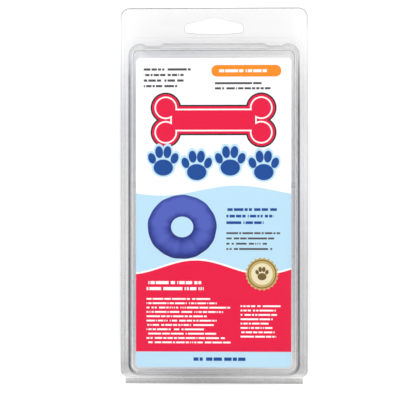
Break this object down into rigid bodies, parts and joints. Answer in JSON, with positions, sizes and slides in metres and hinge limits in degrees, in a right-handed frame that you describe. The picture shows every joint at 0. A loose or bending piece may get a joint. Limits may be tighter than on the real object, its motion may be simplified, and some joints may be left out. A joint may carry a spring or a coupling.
{
  "type": "hanging clamshell pack with insert card and folded inflatable pet recovery collar",
  "caption": "Clear hinged hanging pack with a printed insert card behind its flat face and a deflated plush neck collar folded in half inside; the front shell opens on a living hinge.",
  "frame": {"origin": "under the middle of the closed pack, on the back face of the tray, which the pack rests on", "axes": "+Z out of the front face, +Y towards the hanging edge, +X to the right seen from the front"},
  "size_m": [0.1328, 0.2668, 0.03],
  "materials": {
    "clear_sheet": "clear thermoformed sheet, glossy",
    "blue_plush": "short-pile plush, matte",
    "printed_card": "coated card, printed"
  },
  "bodies": {
    "tray": {"rear_tray": "clear_sheet", "living_hinge": "clear_sheet", "folded_collar": "blue_plush"},
    "front": {"front_shell": "clear_sheet", "insert_card": "printed_card"}
  },
  "joints": [
    {"name": "front_opening", "type": "hinge", "parent": "tray", "child": "front", "pos_m": [0, -0.13115, 0.01545], "axis": [1, 0, 0], "range_deg": [0, 180]}
  ]
}
